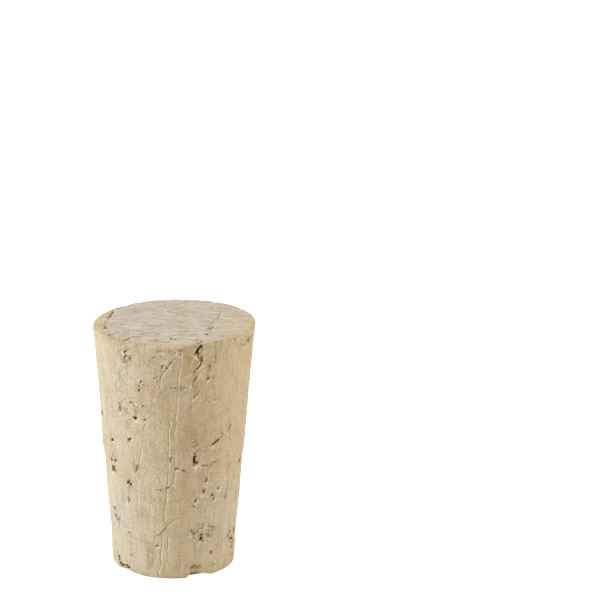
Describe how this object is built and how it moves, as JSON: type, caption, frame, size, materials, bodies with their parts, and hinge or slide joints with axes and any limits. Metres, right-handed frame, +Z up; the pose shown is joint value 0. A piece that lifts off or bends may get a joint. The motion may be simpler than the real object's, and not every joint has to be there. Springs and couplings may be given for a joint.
{
  "type": "cork stopper",
  "caption": "Tapered stopper of natural cork that closes a bottle or flask neck by being pushed in, narrow end first.",
  "frame": {"origin": "middle of the flat narrow end, which the stopper stands on", "axes": "+Z up the axis to the wide end; the side that the picture shows faces -Y; the wide end is cut 1.4 degrees out of square and is highest towards +X"},
  "size_m": [0.0199, 0.02, 0.031],
  "materials": {
    "natural_cork": "natural cork bark, cut and sanded, dry and matt, with open brown pores"
  },
  "bodies": {
    "root": {"stopper": "natural_cork"}
  },
  "joints": []
}
